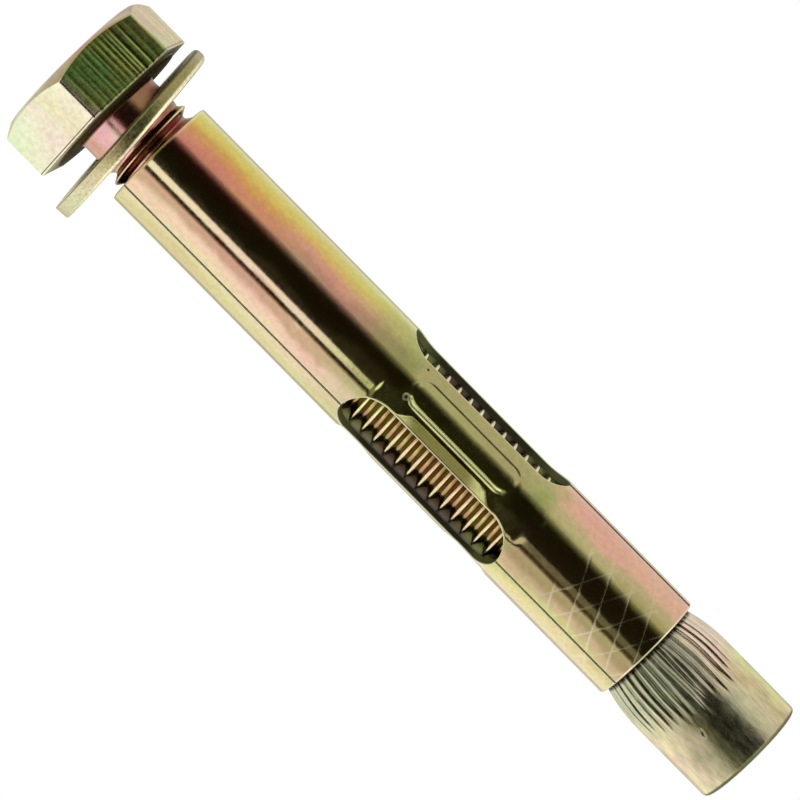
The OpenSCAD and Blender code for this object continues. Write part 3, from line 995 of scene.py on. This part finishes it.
def bolt_zinc():
    """Zinc on a cold-forged bolt with a yellow chromate film: glossy, pink on the shank, painted in brown
    shade between the bright crests and roots of the rolled thread, green and cream on the trimmed flats,
    with painted shade under the head."""
    material, tree = new_material("yellow_passivated_zinc_on_forged_bolt")
    spot = surface_places(tree, 7.0, 0.02)
    head = film_round(spot, [
        (100, "#e4d09a"), (52, "#e4d09a"), (48, "#869250"), (20, "#9cb05c"), (-9, "#a6bc6a"),
        (-13, "#f6f0d0"), (-30, "#eee6be"), (-42, "#f4e4ce"), (-60, "#f0eecc"), (-80, "#ecf2c2"),
        (-110, TAN), (-150, MOSS), (-200, CREAM)])
    chamfer = film_round(spot, [
        (100, KHAKI), (48, "#b09a6c"), (20, "#b8927a"), (-9, "#a8886c"), (-30, "#b4b088"), (-80, CREAM),
        (-150, KHAKI), (-200, TAN)])
    # Painted shade under the head, darkest on the upper side and paler towards the lower side
    under = film_round(spot, [
        (80, UNDER_HEAD_SHADE), (-20, UNDER_HEAD_SHADE), (-38, "#a49c78"), (-60, "#dcd8bc"), (-100, "#a49c78"),
        (-150, UNDER_HEAD_SHADE)])
    shank = film_round(spot, [
        (80, "#8a5c48"), (20, "#946450"), (0, ROSE), (-18, PINK), (-36, PINK), (-60, TAN), (-120, TAN),
        (-200, SALMON)])
    crest = film_round(spot, [
        (90, "#d0c090"), (50, "#d8cca0"), (10, "#a07c58"), (-10, "#a08462"), (-24, "#d4bc94"),
        (-36, "#f0dcb0"), (-56, "#f0d8a8"), (-72, KHAKI), (-180, TAN)])
    root = film_round(spot, [
        (90, SALMON), (10, "#8a6450"), (-10, "#745438"), (-24, "#9a8258"), (-36, "#c8a878"),
        (-56, "#b89064"), (-72, OLIVE), (-180, SALMON)])
    # The first turns, under the washer, are pink like the shank, with red flanks; further up the flanks
    # carry a brown painted shade
    root = blend_over(tree, spot.height, 12 * MM, 20 * MM, shank, root)
    flank = blend_over(tree, spot.height, 12 * MM, 20 * MM, FLANK_RED, SHADED_BROWN)
    thread = blend_over(tree, spot.radius, 4.20 * MM, 4.27 * MM, root, flank)
    thread = blend_over(tree, spot.radius, 4.78 * MM, 4.90 * MM, thread, crest)
    film = blend_over(tree, spot.upward, -0.6, -0.25, chamfer, head)
    film = blend_over(tree, spot.upward, 0.4, 0.7, film, under)
    # A dark line of painted shade runs above the burr on the flats' lower edge
    line = blend_over(tree, spot.height, 5.52 * MM, 5.56 * MM, film, BURR_SHADE_LINE)
    film = blend_over(tree, spot.height, 5.62 * MM, 5.66 * MM, line, film)
    # The washer face under the flats is painted in shade
    film = blend_over(tree, spot.height, 5.86 * MM, 5.92 * MM, film, BURR_SHADE)
    film = blend_over(tree, spot.height, 6.15 * MM, 6.5 * MM, film, shank)
    film = blend_over(tree, spot.height, THREAD_FROM * MM, THREAD_FULL * MM, film, thread)
    # The head's underside is dull
    below = add(tree, "ShaderNodeMapRange", {"Value": spot.height, "From Min": 6.15 * MM,
                                             "From Max": 6.3 * MM, "To Min": 1.0, "To Max": 0.0})
    dull = add(tree, "ShaderNodeMapRange", {"Value": spot.upward, "From Min": 0.4, "From Max": 0.7})
    dull = add(tree, "ShaderNodeMath", {0: dull, 1: below}, operation="MULTIPLY")
    return finish_zinc(material, spot, film, roughness=0.2, grain_mm=0.5, relief=0.3,
                       drift=0.045, drawn=0.8, mottle=0.11, dull=dull)


def washer_zinc():
    """Zinc on a punched washer with an olive chromate film: satin, so it reads as one soft tone
    along its rim, mottled by the steel's own grain."""
    material, tree = new_material("olive_passivated_zinc_on_punched_ring")
    spot = surface_places(tree, 5.0, 0.04)
    film = film_round(spot, [
        (80, "#aaa472"), (40, "#948858"), (0, "#9c9260"), (-15, "#cab888"), (-30, "#d4c69c"),
        (-60, "#dcd6ae"), (-90, STRAW), (-150, KHAKI), (-210, STRAW)])
    # The rim's edge gets painted shade where it faces the head and a painted highlight where it faces the
    # sleeve
    rim = blend_over(tree, spot.upward, -0.5, -0.2, RIM_SHADE, film)
    rim = blend_over(tree, spot.upward, 0.2, 0.5, rim, RIM_HIGHLIGHT)
    rim = blend_over(tree, spot.upward, 0.8, 0.95, rim, film)
    film = blend_over(tree, spot.upward, -0.95, -0.8, film, rim)
    return finish_zinc(material, spot, film, roughness=0.36, grain_mm=0.3, relief=1.3,
                       drift=0.02, drawn=1.0, mottle=0.2)


def nut_zinc():
    """Zinc on a cold-forged nut with a greenish chromate film: satin, and drawn along its length,
    with bright lips where the grooves were pressed."""
    material, tree = new_material("green_passivated_zinc_on_forged_nut")
    spot = surface_places(tree, 4.0, 0.04)
    film = film_round(spot, [
        (75, STRAW), (50, "#bfb086"), (30, "#c0b090"), (8, "#a4a486"), (-16, "#8c8e66"), (-32, "#b0a884"),
        (-50, "#d8c8a4"), (-70, CREAM), (-120, KHAKI), (-170, MOSS), (-220, STRAW)])
    ribbed = film_round(spot, [
        (75, "#ccbcaa"), (50, "#e2c8ae"), (39, "#d8c2a8"), (27, "#a4a286"), (-14, "#8c9270"),
        (-50, "#c2c4a0"), (-70, "#c4c4a2"), (-150, MOSS), (-220, TAN)])
    film = blend_over(tree, spot.height, (SLEEVE_END + 3.0) * MM, (SLEEVE_END + 8.0) * MM, ribbed, film)
    # Painted shade in the joint against the sleeve, and an olive painted shade over the end's edge, which
    # is also dull
    film = blend_over(tree, spot.height, (SLEEVE_END + 0.3) * MM, (SLEEVE_END + 0.65) * MM, JOINT_SHADE, film)
    film = blend_over(tree, spot.upward, 0.05, 0.45, film, END_SHADE_OLIVE)
    dull = add(tree, "ShaderNodeMapRange", {"Value": spot.upward, "From Min": 0.05, "From Max": 0.45,
                                            "To Max": 0.6})
    return finish_zinc(material, spot, film, roughness=0.25, grain_mm=0.4, relief=0.9,
                       drift=0.03, drawn=0.6, mottle=0.18, streak=0.3, scratched=0.3, dull=dull)


# Studio

CAMERA_DISTANCE = 460.0
CAMERA_HEIGHT = 37.0
PICTURE_HEIGHT = 44.52
VIEW_WIDTH = 76.0
ROLL = 45.4
AXIS_OFFSET = 0.095
SENSOR = 36.0
WORLD_LIGHT = 0.7
FLOOR_HALF = 3000.0
FLOOR_DROP = 0.02
FLOOR_PAPER = "#e8e8e8"
FLOOR_GLOW = 1.22
FLOOR_GLOW_SHARE = 0.72

# The cards stand on a circle, at angles from the side shown. The lamps meet at one height.
CARD_RADIUS = 450.0
CARD_LOW = -220.0
CARD_HIGH = 330.0
LAMPS_MEET = 85.0
LOW_JOINT = (44.0, 54.5)
HIGH_JOINT = (79.5, 86.5)
DARK_FROM = -16.0
DARK_TO = 33.0
HIGH_DARK_TO = 27.5
FEATHER_W = 3.5
NARROW_FROM = -35.5
NARROW_TO = -28.5
NARROW_FEATHER_FROM = -38.5
BACK_FROM = 150.0
BACK_TO = 215.0
DARK_CLOTH = "#2a261c"
FEATHER_CLOTHS = ("#403e36", "#6c6a62", "#9c9a94", "#cccac6")
JOINT_CLOTH = "#1c150c"
BROWN_CLOTH = "#5a4a34"
NARROW_FEATHER_CLOTH = "#a89c8c"
DIM_CLOTH = "#868278"
BACK_CLOTH = "#d0d0c8"


def place_camera():
    azimuth, roll = math.radians(SHOWN_AZIMUTH), math.radians(ROLL)
    across = Vector((math.cos(azimuth), math.sin(azimuth), 0))
    out = Vector((math.sin(azimuth), -math.cos(azimuth), 0))
    aim = across * AXIS_OFFSET + Vector((0, 0, PICTURE_HEIGHT))
    place = across * AXIS_OFFSET + out * CAMERA_DISTANCE + Vector((0, 0, CAMERA_HEIGHT))
    back = (place - aim).normalized()
    up = back.cross(across)
    right_axis = math.cos(roll) * up - math.sin(roll) * across
    up_axis = -math.sin(roll) * up - math.cos(roll) * across
    data = bpy.data.cameras.new("camera")
    data.sensor_width = SENSOR
    data.lens = SENSOR * CAMERA_DISTANCE / VIEW_WIDTH
    data.clip_start, data.clip_end = 0.01, 20
    camera = new_object("camera", data)
    turn = Matrix((right_axis, up_axis, back)).transposed().to_4x4()
    turn.translation = place * MM
    camera.matrix_world = turn
    bpy.context.scene.camera = camera


def light_world():
    """A white studio: white where the camera and reflections look, softer as light."""
    world = bpy.data.worlds.new("studio")
    world.use_nodes = True
    tree = world.node_tree
    tree.nodes.clear()
    path = add(tree, "ShaderNodeLightPath")
    seen = add(tree, "ShaderNodeMath", {0: path.outputs["Is Camera Ray"], 1: path.outputs["Is Glossy Ray"]},
               operation="MAXIMUM")
    seen = add(tree, "ShaderNodeMath", {0: seen, 1: path.outputs["Is Transmission Ray"]},
               operation="MAXIMUM")
    strength = add(tree, "ShaderNodeMapRange", {"Value": seen, "To Min": WORLD_LIGHT, "To Max": 1.0})
    background = add(tree, "ShaderNodeBackground", {"Color": (1, 1, 1, 1), "Strength": strength})
    add(tree, "ShaderNodeOutputWorld", {"Surface": background})
    bpy.context.scene.world = world


def card(name, side_from, side_to, tone, low=CARD_LOW, high=CARD_HIGH):
    """An upright studio card, curved round the object, that shows only in reflections."""
    columns = max(3, int(abs(side_to - side_from) / 3) + 2)
    angles = polar(0) - np.linspace(side_from, side_to, columns)
    points = np.stack([turned(CARD_RADIUS, angles, low), turned(CARD_RADIUS, angles, high)])
    numbers = np.arange(2 * columns).reshape(2, columns)
    faces = [[int(a), int(b), int(d), int(c)] for a, b, c, d in
             zip(numbers[0, :-1], numbers[0, 1:], numbers[1, :-1], numbers[1, 1:])]
    mesh = bpy.data.meshes.new(name)
    mesh.from_pydata((points.reshape(-1, 3) * MM).tolist(), [], faces)
    material, tree = new_material(name + "_cloth")
    glow = add(tree, "ShaderNodeEmission", {"Color": tone, "Strength": 1.0})
    add(tree, "ShaderNodeOutputMaterial", {"Surface": glow})
    mesh.materials.append(material)
    piece = new_object(name, mesh)
    piece.visible_camera = False
    piece.visible_diffuse = False
    piece.visible_shadow = False
    return piece


def softbox(name, side_angle, radius, width, height, radiance, elevation):
    """An upright softbox that faces the object, with its power worked out from its brightness."""
    data = bpy.data.lights.new(name, "AREA")
    data.shape = "RECTANGLE"
    data.size, data.size_y = width * MM, height * MM
    data.energy = radiance * math.pi * width * height * MM * MM
    lamp = new_object(name, data)
    level = math.radians(elevation)
    out = Vector(turned(math.cos(level), polar(0) - side_angle, math.sin(level)).tolist())
    lamp.location = Vector((0, 0, PICTURE_HEIGHT * MM)) + out * radius * MM
    lamp.rotation_euler = out.to_track_quat("Z", "Y").to_euler()
    return lamp


def lay_floor():
    """A plain white floor that keeps the object's soft shadow, and is clear from below."""
    half, level = FLOOR_HALF * MM, -FLOOR_DROP * MM
    corners = [(x, y, level) for x, y in ((-half, -half), (half, -half), (half, half), (-half, half))]
    mesh = bpy.data.meshes.new("floor")
    mesh.from_pydata(corners, [], [(0, 1, 2, 3)])
    material, tree = new_material("white_paper_floor")
    path = add(tree, "ShaderNodeLightPath")
    paper = add(tree, "ShaderNodeBsdfDiffuse", {"Color": FLOOR_PAPER})
    glow = add(tree, "ShaderNodeEmission", {"Color": (1, 1, 1, 1), "Strength": FLOOR_GLOW})
    share = add(tree, "ShaderNodeMath", {0: path.outputs["Is Camera Ray"], 1: FLOOR_GLOW_SHARE},
                operation="MULTIPLY")
    mixed = add(tree, "ShaderNodeMixShader", {0: share, 1: paper, 2: glow})
    clear = add(tree, "ShaderNodeBsdfTransparent")
    below = add(tree, "ShaderNodeNewGeometry").outputs["Backfacing"]
    sheet = add(tree, "ShaderNodeMixShader", {0: below, 1: mixed, 2: clear})
    add(tree, "ShaderNodeOutputMaterial", {"Surface": sheet})
    mesh.materials.append(material)
    floor = new_object("floor", mesh)
    floor.visible_glossy = False


place_camera()
light_world()
lay_floor()
# Reflections double the angle, so a card here fills half its width on the sleeve. A dark card with
# a feathered edge, and a narrow one beside it, leave a bright strip between them.
for level, low, high, dark_to in (("low", CARD_LOW, LAMPS_MEET, DARK_TO),
                                  ("high", LAMPS_MEET, CARD_HIGH, HIGH_DARK_TO)):
    card("dark_card_" + level, DARK_FROM, dark_to, DARK_CLOTH, low, high)
    for i, tone in enumerate(FEATHER_CLOTHS):
        start = dark_to + FEATHER_W * i
        card("feather_card_%s_%d" % (level, i), start, start + FEATHER_W, tone, low, high)
card("narrow_dark_card", NARROW_FROM, NARROW_TO, JOINT_CLOTH, high=LAMPS_MEET)
card("narrow_brown_card", NARROW_FROM, NARROW_TO, BROWN_CLOTH, low=LAMPS_MEET)
card("narrow_feather_card", NARROW_FEATHER_FROM, NARROW_FROM, NARROW_FEATHER_CLOTH)
# Three lamps in a row light the strip, the highest of them dim, with dark joints between them
card("dim_strip_card", NARROW_TO, DARK_FROM, DIM_CLOTH, low=HIGH_JOINT[1])
card("low_joint_card", NARROW_TO, DARK_FROM, JOINT_CLOTH, *LOW_JOINT)
card("high_joint_card", NARROW_TO, DARK_FROM, JOINT_CLOTH, *HIGH_JOINT)
card("back_card", BACK_FROM, BACK_TO, BACK_CLOTH)
softbox("key_softbox", -60.0, radius=900.0, width=500.0, height=500.0, radiance=1.0, elevation=35.0)
softbox("top_softbox", 60.0, radius=900.0, width=600.0, height=600.0, radiance=1.0, elevation=55.0)

build_bolt(bolt_zinc())
build_washer(washer_zinc())
build_sleeve(sleeve_zinc())
build_nut(nut_zinc())

bpy.context.scene.view_settings.view_transform = "Standard"
